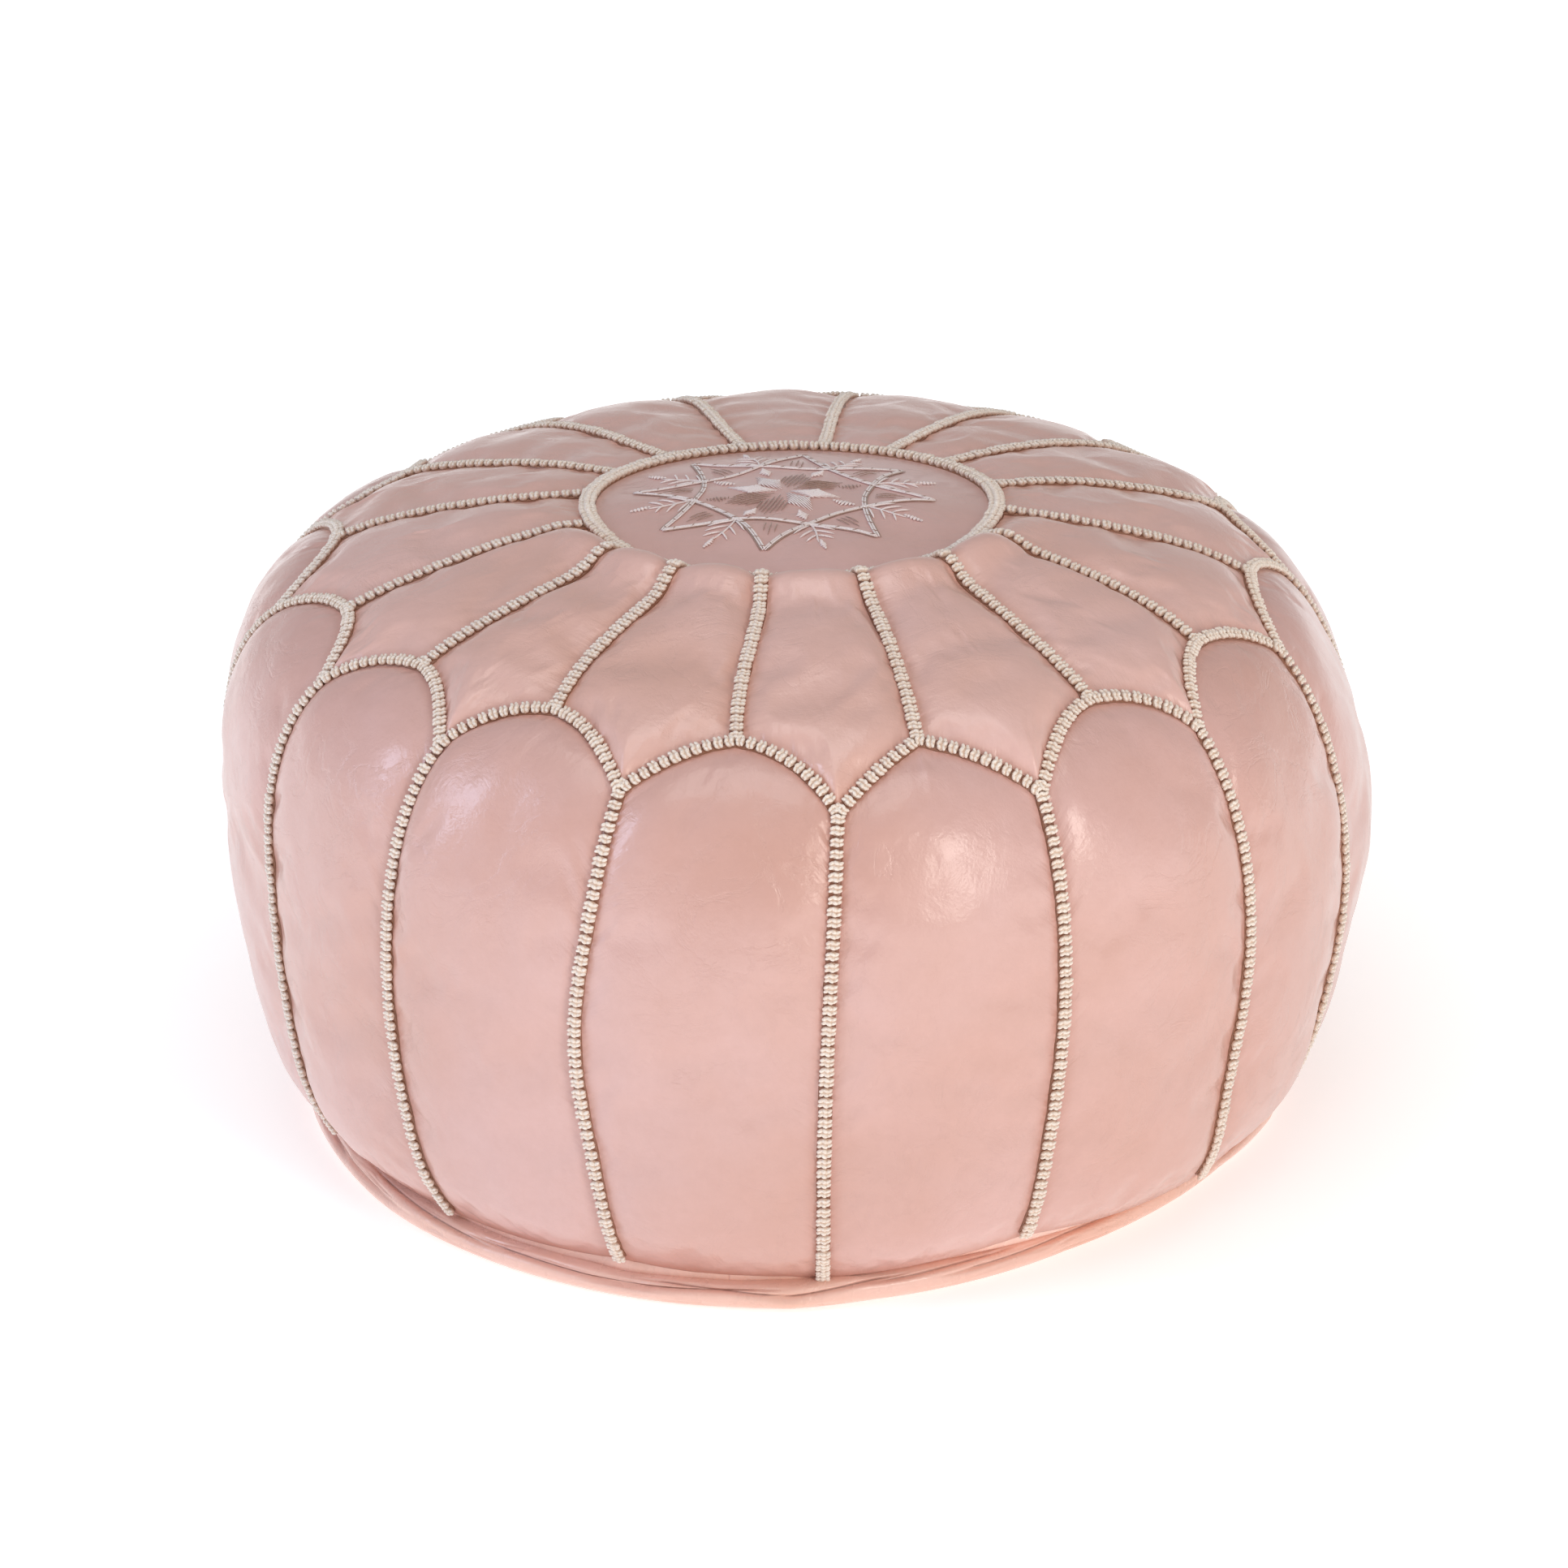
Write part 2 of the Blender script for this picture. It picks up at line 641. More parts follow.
def leather(name, colour, seamed=True, roughness=0.4, creased=1.0, folded=False):
    """Semi-gloss dyed goat leather: fine grain, soft creases, warmer and darker by seams and in folds."""
    material, tree, shader = new_material(name)
    at = tree.place()
    red, green, blue = colour
    pale = linear(min(red + 4, 255), green + 4, blue + 6)
    warm = linear(red - 3, green - 9, blue - 14)
    tone = tree.mix(tree.ramp(tree.noise(at, 7, 4, 0.55), (0.35, 0.0), (0.7, 1.0)), pale, warm)
    specks = tree.ramp(tree.noise(at, 160, 5, 0.7), (0.3, 0.0), (0.75, 0.16))
    tone = tree.mix(specks, tone, linear(red - 26, green - 34, blue - 38))
    veins = tree.noise(at, 26, 7, 0.62, distortion=0.9)
    veins = tree.calc("ABSOLUTE", tree.calc("SUBTRACT", veins, 0.5))
    bunched = tree.ramp(tree.noise(at, 8, 2, 0.5), (0.46, 0.2), (0.62, 1.0))
    groove = tree.calc("MULTIPLY", tree.ramp(veins, (0.0, 1.0), (0.03, 0.0)), bunched)
    crease = tree.calc("MULTIPLY", groove, -1.0)
    grain = tree.add("TexVoronoi", {"Scale": 720, "Vector": at}, feature="SMOOTH_F1").outputs["Distance"]
    normal = tree.bump(grain, 0.12, 0.0004)
    normal = tree.bump(tree.noise(at, 330, 4, 0.6), 0.10, 0.0006, normal)
    normal = tree.bump(tree.noise(at, 45, 5, 0.6), 0.26 * creased, 0.003, normal)
    normal = tree.bump(crease, 0.2 * creased, 0.0012, normal)
    if seamed:
        cut = tree.add("UVMap", uv_map="cut").outputs[0]
        for attribute, stretch in (("beside", (26, 210, 1)), ("beyond", (210, 26, 1))):
            mask = tree.value(attribute)
            pucker = tree.calc("MULTIPLY", tree.noise(cut, 1, 3, 0.55, stretch), mask)
            normal = tree.bump(pucker, 0.55, 0.0022, normal)
            near = tree.ramp(mask, (0.35, 0.0), (0.92, 0.5))
            tone = tree.mix(near, tone, linear(red - 26, green - 52, blue - 68))
    if folded:
        deep = tree.ramp(tree.value("fold"), (0.25, 0.0), (1.0, 0.9))
        tone = tree.mix(deep, tone, linear(red - 96, green - 112, blue - 106))
    gloss = tree.ramp(tree.noise(at, 60, 5, 0.6), (0.3, roughness - 0.05), (0.75, roughness + 0.09))
    tree.feed(shader, {"Base Color": tone, "Roughness": gloss, "Normal": normal, "Specular IOR Level": 0.5,
                       "Coat Normal": normal, "Coat Weight": 0.5, "Coat Roughness": 0.17})
    return material


def thread(name, colour, dark, scale=900, roughness=0.55, sheen=0.25):
    """Twisted thread: fine plies across it, darker in the hollows between them."""
    material, tree, shader = new_material(name)
    at = tree.place()
    plies = tree.noise(at, scale, 3, 0.6)
    tone = tree.mix(tree.ramp(plies, (0.3, 0.0), (0.7, 1.0)), linear(*dark), linear(*colour))
    soiled = tree.ramp(tree.noise(at, 70, 4, 0.6), (0.45, 0.0), (0.8, 0.35))
    gloss = tree.ramp(plies, (0.2, roughness - 0.1), (0.8, roughness + 0.1))
    tree.feed(shader, {"Base Color": tree.mix(soiled, tone, linear(*dark)), "Roughness": gloss,
                       "Normal": tree.bump(plies, 0.35, 0.0004), "Sheen Weight": sheen})
    return material


def woven(name, colour, pitch, roughness=0.8):
    """Plain weave of two crossing sets of threads."""
    material, tree, shader = new_material(name)
    at = tree.place()
    inputs = {"Scale": 1 / pitch, "Distortion": 0.6, "Vector": at}
    sets = [tree.add("TexWave", inputs, bands_direction=way).outputs["Fac"] for way in ("X", "Y")]
    weave = tree.calc("MAXIMUM", *sets)
    red, green, blue = colour
    tone = tree.mix(weave, linear(red * 0.72, green * 0.72, blue * 0.7), linear(*colour))
    blotch = tree.ramp(tree.noise(at, 18, 4), (0.4, 0.0), (0.8, 0.2))
    tone = tree.mix(blotch, tone, linear(red * 0.8, green * 0.76, blue * 0.7))
    tree.feed(shader, {"Base Color": tone, "Normal": tree.bump(weave, 0.5, 0.0004), "Roughness": roughness,
                       "Sheen Weight": 0.3})
    return material


def metal(name, colour, roughness):
    """Plated metal, slightly tarnished and scratched."""
    material, tree, shader = new_material(name)
    at = tree.place()
    scratches = tree.noise(at, 1, 6, 0.7, (300, 2600, 900))
    tarnish = tree.ramp(tree.noise(at, 240, 5, 0.65), (0.4, 0.0), (0.75, 0.6))
    red, green, blue = colour
    tone = tree.mix(tarnish, linear(*colour), linear(red * 0.62, green * 0.58, blue * 0.5))
    gloss = tree.ramp(scratches, (0.3, roughness - 0.08), (0.7, roughness + 0.12))
    tree.feed(shader, {"Base Color": tone, "Roughness": gloss, "Normal": tree.bump(scratches, 0.15, 0.0002),
                       "Metallic": 1})
    return material


PETAL_LEATHER = leather("petal_leather", (230, 190, 180), roughness=0.36)
PANEL_LEATHER = leather("panel_leather", (219, 178, 169), roughness=0.34)
MEDALLION_LEATHER = leather("medallion_leather", (225, 186, 179), seamed=False, roughness=0.38)
RIM_LEATHER = leather("rim_leather", (249, 207, 191), seamed=False, roughness=0.26, creased=1.3, folded=True)
BASE_LEATHER = leather("base_leather", (216, 180, 164), seamed=False, roughness=0.48, creased=1.3)
SEAM_EDGE = leather("seam_edge_leather", (150, 104, 80), seamed=False, roughness=0.6)
BRAID_THREAD = thread("braid_thread", (255, 248, 238), (236, 216, 200), 800, 0.3, 0.2)
BRAID_CORE = thread("braid_core_thread", (238, 216, 198), (204, 170, 146), 800, 0.5, 0.2)
SILK = thread("embroidery_silk", (255, 246, 242), (246, 226, 222), 1400, 0.3, 0.4)
SILK_TAUPE = thread("embroidery_silk_taupe", (196, 160, 144), (150, 116, 100), 1400, 0.36, 0.3)
COTTON = woven("bag_cotton", (222, 214, 198), 0.0011)
FILLING = thread("filling", (226, 222, 212), (190, 184, 172), 240, 0.9, 0.5)
ZIP_TAPE = woven("zip_tape", (206, 178, 160), 0.0007)
ZIP_TEETH = metal("zip_teeth", (196, 160, 104), 0.34)
ZIP_METAL = metal("zip_metal", (204, 170, 112), 0.3)


# ---- Side panels and petals

def make_panels():
    numbers = range(SEAMS)
    made = [side_grid(n) for n in numbers] + [petal_grid(n) for n in numbers]
    grids = [g for g, _ in made]
    grids = inflate(grids)
    for n in numbers:
        fine, near = detailed(grids[n], made[n][1], SIDE_GATHERS, [12, n])
        leather_panel(f"side_panel_{n + 1:02d}", fine, near, PANEL_LEATHER)
    for n in numbers:
        fine, near = detailed(grids[n + SEAMS], made[n + SEAMS][1], PETAL_GATHERS, [13, n])
        leather_panel(f"top_petal_{n + 1:02d}", fine, near, PETAL_LEATHER)


# ---- Medallion and its embroidery

def medallion_height(x, y):
    """Height of the medallion's face in millimetres."""
    r = np.hypot(x, y)
    forward = (x * FACING_SIN - y * FACING_COS) / RING_R
    points = np.stack([x, y, 0 * x], -1)
    inside = rise(RING_R - r, 14)
    dome = MEDALLION_DOME * (1 - (r / RING_R) ** 2)
    edge = front_crest(np.degrees(np.arctan2(x, -y)), RUN_RING) * np.exp(-(RING_R - r) / 30)
    puff = (MEDALLION_PUFF + 0.9 * waves(points, 11, 60)) * inside
    return RING_SEAM[1] + crown_lean(forward) + puff + dome + edge


def make_medallion():
    count = 72
    t = crowded(count) * 2 - 1
    across, along = np.meshgrid(t, t[::-1])
    x = RING_R * across * np.sqrt(1 - along ** 2 / 2)
    y = RING_R * along * np.sqrt(1 - across ** 2 / 2)
    points = np.stack([x, y, medallion_height(x, y)], -1)
    faces = grid_faces(count + 1, count + 1)
    made = make_object("medallion_leather", points, faces, [MEDALLION_LEATHER])
    thicken(made)
    finish_piece(made, ["medallion"])


def sweep(points, normals, width, height, sides=6):
    """Points and quads of a thread along a path: an oval section with closed, tapered ends."""
    points = np.asarray(points, float)
    along = unit(np.gradient(points, axis=0))
    aside = unit(np.cross(normals, along))
    up = unit(np.cross(along, aside))
    angle = np.arange(sides) * 2 * math.pi / sides
    ring = np.cos(angle)[None, :, None] * aside[:, None] * width / 2 + \
        np.sin(angle)[None, :, None] * up[:, None] * height / 2
    taper = np.ones(len(points))
    taper[[0, -1]] = 0.35
    body = points[:, None] + ring * taper[:, None, None]
    ends = np.stack([points[0], points[-1]])
    total = len(points) * sides
    faces = np.roll(tube_faces(len(points), sides)[:, ::-1], 1, axis=1).tolist()
    for j in range(sides):
        k = (j + 1) % sides
        faces.append((total, k, j))
        faces.append((total + 1, total - sides + j, total - sides + k))
    return np.concatenate([body.reshape(-1, 3), ends]), faces


class Stitches:
    """Collects embroidery threads that lie on the medallion."""

    def __init__(self):
        self.points = []
        self.faces = []
        self.chosen = []
        self.count = 0

    def lay(self, path, width=1.0, lift=0.35, tone=0, arch=0.0):
        """One thread along a flat path on the medallion; arch raises its middle."""
        path = np.asarray(path, float)
        t = np.linspace(0, 1, len(path))
        z = medallion_height(path[:, 0], path[:, 1]) + lift + arch * np.sin(math.pi * t)
        points = np.column_stack([path, z])
        normals = np.tile([0.0, 0.0, 1.0], (len(path), 1))
        vertices, faces = sweep(points, normals, width, width * 0.8)
        self.points.append(vertices)
        self.faces += [tuple(i + self.count for i in f) for f in faces]
        self.chosen += [tone] * len(faces)
        self.count += len(vertices)

    def stroke(self, a, b, width=1.0, tone=0, steps=5):
        t = np.linspace(0, 1, steps)[:, None]
        self.lay(np.asarray(a) + (np.asarray(b) - np.asarray(a)) * t, width, tone=tone, arch=0.45)

    def satin(self, corners, count, tone=0, gap=1.0):
        """A four-cornered figure filled with side-by-side stitches from its one side to the other."""
        a, b, c, d = (np.asarray(p, float) for p in corners)
        for i in range(count):
            t = (i + 0.5) / count
            start, end = (a + (b - a) * 2 * t, a + (d - a) * 2 * t) if t < 0.5 else \
                (b + (c - b) * (2 * t - 1), d + (c - d) * (2 * t - 1))
            width = np.linalg.norm(c - a) / count * gap
            self.stroke(start, end, width, tone, 4)

    def made(self, name, node):
        piece = make_object(name, np.concatenate(self.points), self.faces, [SILK, SILK_TAUPE], self.chosen)
        finish_piece(piece, [node])


PATTERN_CENTRE = np.array([-4.0, 2.0])
STAR_TIP = 71
STAR_WAIST = 38
STAR_LINE = 1.15
ROSETTE_TURN = 35
WHITE_RHOMBS = (2, 3, 6, 7)
WHITE_LOZENGES = (1, 2, 3, 5, 6, 7)


def polar(radius, degrees, aside=0.0):
    """A point of the pattern at a distance and an angle, and a distance to the left of that ray."""
    angle = math.radians(degrees)
    ray = np.array([math.cos(angle), math.sin(angle)])
    return PATTERN_CENTRE + ray * radius + np.array([-ray[1], ray[0]]) * aside


def star_side(middle, t):
    """A concave side of a four-pointed star, from tip to tip, round its middle direction."""
    corner = STAR_TIP * math.sqrt(0.5)
    aside = corner * (2 * t - 1)
    radius = STAR_WAIST + (corner - STAR_WAIST) * np.abs(2 * t - 1) ** 1.7
    return np.array([polar(r, middle, s) for r, s in zip(radius, aside)])


def make_star():
    stitches = Stitches()
    t = np.linspace(0, 1, 37)
    for number in range(8):
        line = star_side(45 * number, t)
        ahead = unit(np.gradient(line, axis=0))
        left = np.stack([-ahead[:, 1], ahead[:, 0]], -1)
        for side in (-1, 1):
            stitches.lay(line + left * side * STAR_LINE / 2, 1.05, 0.6, 0)
        stitches.lay(line - left * STAR_LINE * 1.25, 0.7, 0.4, 1)
        for i in range(2, len(t) - 1, 3):
            middle = line[i]
            slant = (left[i] * 1.15 + ahead[i] * 0.8) * 1.05
            stitches.lay([middle - slant, middle, middle + slant], 0.55, 1.1, 1)
    stitches.made("embroidery_star", "star_embroidery")


def make_rosette():
    stitches = Stitches()
    for number in range(8):
        angle = 45 * number + ROSETTE_TURN
        if number in WHITE_RHOMBS:
            corners = [polar(15, angle, 5.8), polar(29, angle), polar(15, angle, -5.8), polar(2, angle)]
            stitches.satin(corners, 10, 0, 0.8)
            continue
        for row in range(-3, 4):
            start, end = 5 + 3 * abs(row), 31 - 2.5 * abs(row)
            stitches.stroke(polar(start, angle, row * 2.0), polar(end, angle, row * 2.0), 0.7, 1)
    for number in range(8):
        angle = 45 * number + ROSETTE_TURN - 12
        corners = [polar(26, angle), polar(32, angle, 3.2), polar(38, angle), polar(32, angle, -3.2)]
        tone, gap = (0, 0.8) if number in WHITE_LOZENGES else (1, 0.45)
        stitches.satin(corners, 7, tone, gap)
    stitches.made("embroidery_rosette", "rosette_embroidery")


def make_sprigs():
    stitches = Stitches()
    for number in range(8):
        angle = 45 * number + 22.5
        stem = np.array([polar(r, angle, 1.2 * math.sin(r / 6 + number)) for r in np.linspace(42, 66, 9)])
        stitches.lay(stem, 1.0)
        for pair in range(3):
            along = 45 + 6.4 * pair
            for side in (-1, 1):
                reach = 12 - 2 * pair
                leaf = polar(along + reach * 0.72, angle, side * reach * 0.82)
                stitches.stroke(polar(along, angle), leaf, 1.05, 0)
        end = [polar(64, angle), polar(69, angle, 1.7), polar(74, angle), polar(69, angle, -1.7)]
        stitches.satin(end, 6, 0)
        tip = 45 * number
        for row in (-1, 0, 1):
            stitches.stroke(polar(43, tip, row * 2.6), polar(57 - 4 * abs(row), tip, row * 2.6), 0.6, 1)
    stitches.made("embroidery_sprigs", "sprig_embroidery")


# ---- Braided seams

def round_block(divisions):
    """A cube divided into quads and rounded to a ball of radius 1."""
    steps = np.linspace(-1, 1, divisions + 1)
    found = {}
    faces = []
    for axis in range(3):
        for sign in (-1, 1):
            index = {}
            for i, a in enumerate(steps):
                for j, b in enumerate(steps):
                    point = np.zeros(3)
                    point[axis] = sign
                    point[(axis + 1) % 3] = a
                    point[(axis + 2) % 3] = b
                    key = tuple(np.round(point, 6))
                    index[i, j] = found.setdefault(key, len(found))
            for i in range(divisions):
                for j in range(divisions):
                    quad = [index[i, j], index[i + 1, j], index[i + 1, j + 1], index[i, j + 1]]
                    faces.append(quad if sign > 0 else quad[::-1])
    return unit(np.array(list(found))), np.array(faces)


def stitch_shape():
    """One cross stitch along +Y: slanting strands in three columns and two rows over a rounded core."""
    ball, quads = round_block(2)
    parts = [ball * (BRAID_W * 0.48, PITCH * 0.49, BRAID_H * 0.62) + (0, 0, BRAID_H * 0.3)]
    for column in (-1, 0, 1):
        for row in (-1, 1):
            slant = math.radians(STRAND_SLANT * (1 if column else -1))
            turn = np.array(Matrix.Rotation(slant, 3, "Z"))
            strand = ball * STRAND * (1, 1 if column == 0 else 0.88, 1)
            across, along = BRAID_W * 0.29 * column, PITCH * row * (0.235 if column == 0 else 0.195)
            parts.append(strand @ turn.T + (across, along, BRAID_H * (0.78 - 0.18 * abs(column))))
    points = np.concatenate(parts)
    faces = np.concatenate([quads + len(ball) * i for i in range(len(parts))])
    return points, faces, np.repeat([2] + [0] * (len(parts) - 1), len(quads))


STITCH_POINTS, STITCH_FACES, STITCH_CHOSEN = stitch_shape()


def even_steps(points, pitch):
    """Fractional indices along a line of points, about a pitch apart and half a pitch from its ends."""
    run = np.r_[0, np.cumsum(np.linalg.norm(np.diff(points, axis=0), axis=1))]
    count = max(1, round(run[-1] / pitch))
    at = (np.arange(count) + 0.5) * run[-1] / count
    return np.interp(at, run, np.arange(len(points))), run[-1] / count


def braid(name, line, node, seed, closed=False, size=1.0):
    """A braid of cross stitches over a seam, given as rows of bearing and run, on its dark leather edge."""
    raised = 0.5
    normals = outward(line[:, 0], line[:, 1])
    points = skin(line[:, 0], line[:, 1]) + normals * raised
    along = unit(np.gradient(points, axis=0))
    if closed:
        along[0] = along[-1] = unit(points[1] - points[-2])
    at, step = even_steps(points, PITCH)
    index = np.arange(len(points))
    centre, ahead, up = (np.stack([np.interp(at, index, v[:, i]) for i in range(3)], -1)
                         for v in (points, along, normals))
    ahead = unit(ahead)
    up = unit(up - ahead * np.sum(up * ahead, -1, keepdims=True))
    side = np.cross(ahead, up)
    draw = rng(seed)
    count = len(at)
    grow = draw.uniform(0.93, 1.07, (count, 1, 1))
    skew = draw.uniform(-0.07, 0.07, (count, 1, 1))
    shape = STITCH_POINTS[None] * grow * (size, step / PITCH, size)
    across, down, out = shape[..., :1], shape[..., 1:2], shape[..., 2:]
    placed = centre[:, None] + (across - skew * down) * side[:, None]
    placed += (down + skew * across) * ahead[:, None]
    placed += out * up[:, None]
    placed += draw.normal(0, 0.06, (count, 1, 3))
    faces = (STITCH_FACES[None] + (np.arange(count) * len(STITCH_POINTS))[:, None, None]).reshape(-1, 4)
    edge_points, edge_faces = sweep(points - normals * 0.6, normals, BRAID_W * size - 0.1, 1.6, 8)
    start = count * len(STITCH_POINTS)
    all_faces = faces.tolist() + [tuple(i + start for i in f) for f in edge_faces]
    chosen = np.concatenate([np.tile(STITCH_CHOSEN, count), np.ones(len(edge_faces), int)])
    made = make_object(name, np.concatenate([placed.reshape(-1, 3), edge_points]), all_faces,
                       [BRAID_THREAD, SEAM_EDGE, BRAID_CORE], chosen)
    finish_piece(made, [node])


def make_braids():
    ring = np.concatenate([ring_edge(seam, np.linspace(0, 1, 13))[:-1] for seam in range(SEAMS)])
    ring = np.concatenate([ring, ring[:1] + (360, 0)])
    braid("braid_medallion_ring", ring, "medallion_ring_braid", 20, closed=True, size=1.25)
    t = np.linspace(0, 1, 60)
    for seam in range(SEAMS):
        number = f"{seam + 1:02d}"
        braid(f"braid_petal_seam_{number}", radial_seam(seam, t), "petal_seam_braids", [21, seam])
        arch = np.concatenate([half_arch(seam, -1, t)[::-1], half_arch(seam, 1, t)[1:]])
        braid(f"braid_arch_{number}", arch, "arch_braids", [22, seam])
        braid(f"braid_side_seam_{number}", side_seam(seam, np.linspace(0, 0.995, 90)), "side_seam_braids",
              [23, seam])


# ---- Rim band and base

# How far the rim band reaches beyond the foot of the panels, by bearing
RIM_REACH = [(-180, -3), (-95, -1), (-51, 5), (-40, 7.5), (-25, 10.5), (7, 11), (16, 4.5), (27, 0),
             (40, -4.5), (67, -5), (80, 0.5), (100, 0.5), (120, -4), (180, -3)]
# Half the width and half the height of its roll, and the height of its middle
RIM_HALF = (9.4, 6.6)
RIM_UP = 6.3

# Folds of the rim band in front: bearing and angle round the roll (0 outwards, 90 up) where each starts and
# where it ends, its depth, its width in degrees and how far the leather above it is set back
RIM_FOLDS = [(-72, 30, -42, 8, 3.4, 9, 1.8), (-50, 78, -27, 26, 4.0, 9, 2.0), (-30, 44, -8, 16, 5.0, 9, 2.8),
             (-14, 16, 5, 46, 4.6, 9, 2.4), (-9, 66, 7, 14, 3.2, 8, 1.0), (5, 8, 19, 54, 3.8, 9, 1.6),
             (15, 34, 32, 62, 3.2, 8, 1.4), (25, 14, 48, 46, 3.2, 8, 1.4)]
# How many random folds go round the rest, how many small creases go all round, and the deepest that all of
# them together may be
FOLDS_ROUND = 16
CREASES = 90
DEEPEST_FOLD = 6


def rim_fold(bearing, round_at, fold):
    """One fold of the rim roll: a sharp dent along a slanting line."""
    start, start_at, end, end_at, depth, width, step = fold
    t = ((bearing - start + 180) % 360 - 180) / (end - start)
    line = round_at - start_at - (end_at - start_at) * smoothstep(0, 1, t)
    fade = smoothstep(-0.12, 0.2, t) * (1 - smoothstep(0.8, 1.12, t))
    return -(depth * np.exp(-np.abs(line / width) ** 1.25) + step * smoothstep(0, 20, line)) * fade


def rim_folds():
    """Every fold of the rim band: the chosen ones in front, and small or random ones all round."""
    folds = list(RIM_FOLDS)
    draw = rng(31)
    for number in range(FOLDS_ROUND):
        start = 60 + 240 * number / FOLDS_ROUND + draw.uniform(-6, 6)
        folds.append((start, draw.uniform(0, 70), start + draw.uniform(12, 26), draw.uniform(0, 70),
                      draw.uniform(1.8, 3.2), draw.uniform(8, 11), draw.uniform(0.5, 2)))
    for _ in range(CREASES):
        start, at = draw.uniform(0, 360), draw.uniform(-30, 70)
        folds.append((start, at, start + draw.uniform(2, 9), at + draw.uniform(-22, 22),
                      draw.uniform(0.2, 0.7), draw.uniform(4, 6), 0))
    return folds


def rim_line(bearing):
    """The middle of the rim roll: places on the floor plan, and directions outwards."""
    foot = skin(bearing, RUN_FOOT)[..., :2]
    out = unit(foot)
    where, reach = np.array(RIM_REACH, float).T
    reach = np.interp((np.asarray(bearing) + 180) % 360 - 180, where, reach)
    reach = reach + 0.8 * waves(skin(bearing, RUN_FOOT), 30, 120)
    return foot + out * (reach - RIM_HALF[0])[..., None], out


def make_rim():
    around, across = 960, 96
    bearing = np.arange(around) * 360 / around
    middle, out = rim_line(bearing)
    bearing = bearing[:, None]
    round_at = (np.arange(across)[None] * 360 / across + 180) % 360 - 180
    turn = np.radians(round_at)
    dent = np.zeros((around, across))
    deepest = np.zeros((around, across))
    for fold in rim_folds():
        one = rim_fold(bearing, round_at, fold)
        dent += one
        deepest = np.maximum(deepest, -one - fold[-1])
    size = 1 + np.maximum(dent, -DEEPEST_FOLD) / RIM_HALF[0]
    aside = RIM_HALF[0] * np.sign(np.cos(turn)) * np.abs(np.cos(turn)) ** 0.85 * size
    up = RIM_HALF[1] * np.sign(np.sin(turn)) * np.abs(np.sin(turn)) ** 0.85 * size
    wave = waves(np.column_stack([middle, 0 * middle[:, 0]]), 33, 150)[:, None]
    height = np.maximum(RIM_UP + up + 0.5 * wave * (up > 0), 0.1)
    points = np.concatenate([middle[:, None] + out[:, None] * aside[..., None], height[..., None]], -1)
    faces = tube_faces(around, across, closed=True)
    made = make_object("rim_band_leather", points, faces, [RIM_LEATHER])
    point_value(made, "fold", np.clip(deepest / 2.5, 0, 1).ravel())
    finish_piece(made, ["base_rim_band"])


def make_seam_allowance():
    """The rim band's upper edge, turned up inside the foot of the panels, where the two are sewn together."""
    around = 720
    bearing = np.arange(around) * 360 / around
    middle, out = rim_line(bearing)
    rows = []
    for above, depth in ((14, 2.6), (8, 2.5), (3, 2.3), (0, 2.2)):
        rows.append(skin(bearing, RUN_FOOT - above) - outward(bearing, RUN_FOOT - above) * depth)
    for inwards, height in ((1.5, RIM_UP + 4.6), (3, RIM_UP + 2), (4, RIM_UP - 2)):
        rows.append(np.column_stack([middle - out * inwards, np.full(around, height)]))
    points = np.stack(rows)
    points = np.concatenate([points, points[:, :1]], 1)
    count = around + 1
    faces = grid_faces(len(rows), count)
    made = make_object("rim_seam_allowance", points, faces, [RIM_LEATHER])
    thicken(made)
    finish_piece(made)


# The zip's flange, as in the frame: distances from the middle where its flat edge starts and ends and where
# its slope ends, and its height
FLANGE_START = 8
FLANGE_END = 15
FLANGE_FOOT = 24
FLANGE_RISE = 6

# Its line of stitches: distance from the middle, spacing, and how far it goes to the left and right
FLANGE_SEAM = 11.5
FLANGE_STITCH = 4.5
STITCHED_TO = 204


def base_height(x, y):
    """Underside height of the base leather: flat, rising to the zip in the middle."""
    slope = 1 - smoothstep(FLANGE_END, FLANGE_FOOT, np.abs(y))
    points = np.stack([x, y, 0 * x], -1)
    creases = 0.35 * np.abs(waves(points, 40, 34)) * (1 - slope)
    return FLANGE_RISE * slope + creases


def make_base(name, node, side):
    """One half of the base, from its flange beside the zip out to under the rim band."""
    columns, rows = 96, 46
    middle, out = rim_line(np.linspace(0, 360, 721)[:-1])
    outline = middle - out * 6
    outline = outline[outline[:, 1] * side > 0]
    outline = outline[np.argsort(outline[:, 0])]
    left, right = outline[0, 0], outline[-1, 0]
    x = (left + right) / 2 + (right - left) / 2 * np.sin(np.linspace(-1, 1, columns + 1) * math.pi / 2)[None]
    reach = np.maximum(np.interp(x, outline[:, 0], np.abs(outline[:, 1])), FLANGE_START + 0.5)
    t = (np.linspace(0, 1, rows + 1) ** 1.4)[:, None]
    y = side * (FLANGE_START + (reach - FLANGE_START) * t)
    x = x + 0 * t
    points = np.stack([x, y, base_height(x, y)], -1)
    faces = grid_faces(rows + 1, columns + 1)[:, ::side]
    made = make_object(name, points, faces, [BASE_LEATHER])
    thicken(made, smoothed=False)
    finish_piece(made, [node])


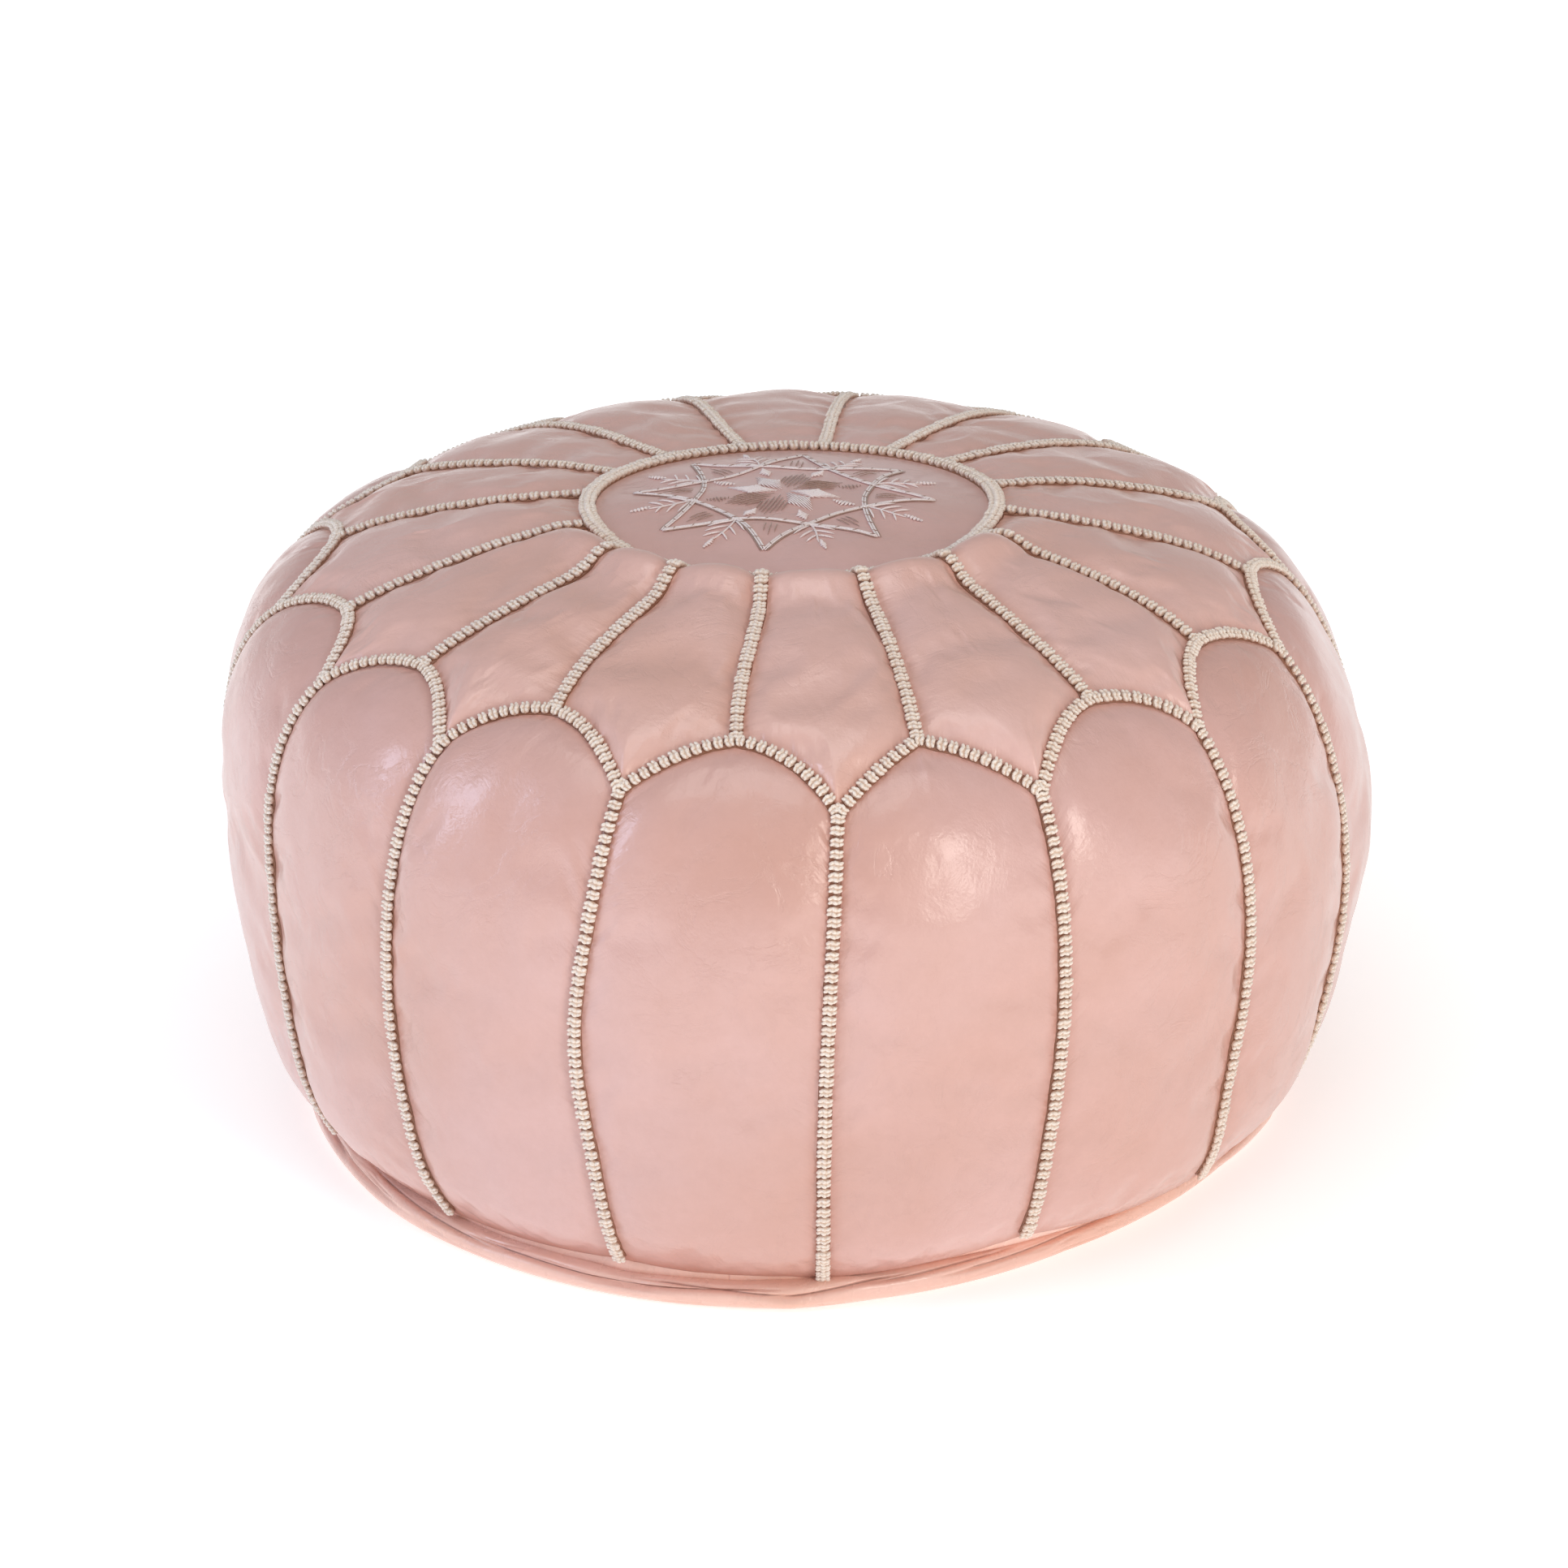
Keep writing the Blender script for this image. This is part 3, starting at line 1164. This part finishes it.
def make_flange_stitching():
    """The line of stitches that holds each zip tape to its flange."""
    points, faces = [], []
    t = np.linspace(-1.5, 1.5, 5)
    z = FLANGE_RISE - 0.1 - 0.3 * np.cos(t * math.pi / 3)
    for side in (-1, 1):
        for x in np.arange(-STITCHED_TO, STITCHED_TO + 0.1, FLANGE_STITCH):
            path = np.stack([x + t, 0 * t + side * FLANGE_SEAM, z], -1)
            vertices, quads = sweep(path, np.tile([0.0, 0.0, -1.0], (5, 1)), 0.8, 0.6)
            faces += [tuple(i + len(points) * len(vertices) for i in f) for f in quads]
            points.append(vertices)
    made = make_object("base_flange_stitching", np.concatenate(points), faces, [BRAID_THREAD])
    finish_piece(made)


# ---- Bag and stuffing

def lining(name, depth, bumps, material, node):
    """A closed soft body a given depth inside the cover."""
    around = 128
    bearing = np.arange(around) * 360 / around
    rings = []
    for run in np.concatenate([np.linspace(14, RUN_TOP, 26), np.linspace(RUN_TOP, RUN_FOOT - 3, 40)[1:]]):
        normals = outward(bearing, run)
        points = skin(bearing, run)
        points = points - normals * depth + normals * (bumps * waves(points, [50, around], 60))[:, None]
        rings.append(points)
    middle, out = rim_line(bearing)
    for inwards, height in ((3, RIM_TOP + depth * 0.6), (9, RIM_TOP + depth * 0.3), (11.5, 7)):
        rings.append(np.column_stack([middle - out * (inwards + depth * 0.2), np.full(around, height)]))
    for size in np.linspace(1, 0.03, 46):
        plan = (middle - out * (12 + depth * 0.2)) * size
        slope = 1 - smoothstep(FLANGE_START + 3, FLANGE_FOOT + 5, np.abs(plan[:, 1]))
        rings.append(np.column_stack([plan, depth * 0.45 + 9.8 * slope]))
    points = np.concatenate(rings)
    faces = tube_faces(len(rings), around).tolist()
    top = np.append(rings[0][:, :2].mean(0), rings[0][:, 2].mean() + 0.2)
    low = np.append(rings[-1][:, :2].mean(0), rings[-1][:, 2].mean())
    total = len(points)
    last = (len(rings) - 1) * around
    for j in range(around):
        k = (j + 1) % around
        faces.append((total, j, k))
        faces.append((total + 1, last + k, last + j))
    made = make_object(name, np.concatenate([points, [top, low]]), faces, [material])
    finish_piece(made, [node])


# ---- Zip

def dress_zip():
    """The zip's own CAD parts keep their shape and get their materials."""
    finishes = {ZIP_TAPE: ("tape_front", "tape_back"), ZIP_TEETH: ("teeth_front", "teeth_back"),
                ZIP_METAL: ("top_stops", "bottom_stop", "slider", "pull"),
                BASE_LEATHER: ("end_patch_left", "end_patch_right")}
    for material, pieces in finishes.items():
        for piece in pieces:
            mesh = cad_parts["zip_" + piece].data
            mesh.materials.clear()
            mesh.materials.append(material)


# ---- Camera, light and floor

DISTANCE = 2.887
AZIMUTH = 7.5
ELEVATION = 24.1
AIM_HEIGHT = 0.1454
LENS = 139.2
ROLL = -0.37
SHIFT = (-0.0062, -0.0041)


def direction(azimuth, elevation):
    """Unit vector from the object towards a viewer."""
    a, e = math.radians(azimuth), math.radians(elevation)
    return Vector((math.sin(a) * math.cos(e), -math.cos(a) * math.cos(e), math.sin(e)))


def make_camera():
    data = bpy.data.cameras.new("camera")
    data.lens = LENS
    data.sensor_width = 36
    data.shift_x, data.shift_y = SHIFT
    camera = linked("camera", data)
    aim = Vector((0, 0, AIM_HEIGHT))
    back = direction(AZIMUTH, ELEVATION)
    turn = back.to_track_quat("Z", "Y").to_matrix().to_4x4() @ Matrix.Rotation(math.radians(ROLL), 4, "Z")
    camera.matrix_world = Matrix.Translation(aim + back * DISTANCE) @ turn
    bpy.context.scene.camera = camera


def area_light(name, azimuth, elevation, distance, size, power, colour):
    data = bpy.data.lights.new(name, "AREA")
    data.shape = "RECTANGLE"
    data.size, data.size_y = size
    data.energy = power
    data.color = colour
    light = linked(name, data)
    back = direction(azimuth, elevation)
    light.matrix_world = Matrix.Translation(Vector((0, 0, 0.15)) + back * distance) @ \
        back.to_track_quat("Z", "Y").to_matrix().to_4x4()


# Brightness of the floor's own glow at distances from the object in metres, halved, and of the room by height
FLOOR_GLOW = [(0.12, 0.46), (0.3, 0.68), (0.8, 0.95)]
SKY = [(0.14, 1.04), (0.3, 0.42), (0.6, 0.5), (0.9, 0.66)]
SKY_STRENGTH = 0.62


def make_stage():
    points = [(-6, -6, 0), (6, -6, 0), (6, 6, 0), (-6, 6, 0)]
    mesh = bpy.data.meshes.new("floor")
    mesh.from_pydata(points, [], [(0, 1, 2, 3)])
    material, tree, shader = new_material("floor")
    spread = tree.add("VectorMath", {0: tree.place()}, operation="LENGTH").outputs["Value"]
    glow = tree.ramp(tree.calc("MULTIPLY", spread, 0.5), *FLOOR_GLOW)
    tree.feed(shader, {"Base Color": (0.85, 0.85, 0.85, 1), "Emission Color": (1, 1, 1, 1), "Roughness": 0.9,
                       "Emission Strength": glow, "Specular IOR Level": 0.1})
    mesh.materials.append(material)
    floor = linked("floor", mesh)
    world = bpy.data.worlds.new("studio")
    world.use_nodes = True
    tree = Tree(world.node_tree)
    height = tree.add("SeparateXYZ", {0: tree.place("Generated")}).outputs["Z"]
    tree.feed(tree.nodes["Background"], {"Color": tree.ramp(height, *SKY), "Strength": SKY_STRENGTH})
    bpy.context.scene.world = world
    area_light("cool_softbox", -61, 26, 2.0, (0.42, 1.0), 9, (0.62, 0.74, 1.0))
    area_light("warm_softbox", 39, 21, 2.0, (0.42, 1.0), 9.5, (1.0, 0.9, 0.82))
    area_light("top_softbox", 0, 78, 2.0, (1.2, 1.2), 8, (1.0, 0.98, 0.97))
    bpy.context.scene.view_settings.view_transform = "Standard"


make_panels()
make_medallion()
make_star()
make_rosette()
make_sprigs()
make_braids()
make_rim()
make_seam_allowance()
make_base("base_front_leather", "base_front_half", -1)
make_base("base_back_leather", "base_back_half", 1)
make_flange_stitching()
lining("inner_bag_cotton", 5, 0.4, COTTON, "inner_bag")
lining("stuffing_filling", 7.5, 0.6, FILLING, "stuffing")
dress_zip()
make_camera()
make_stage()
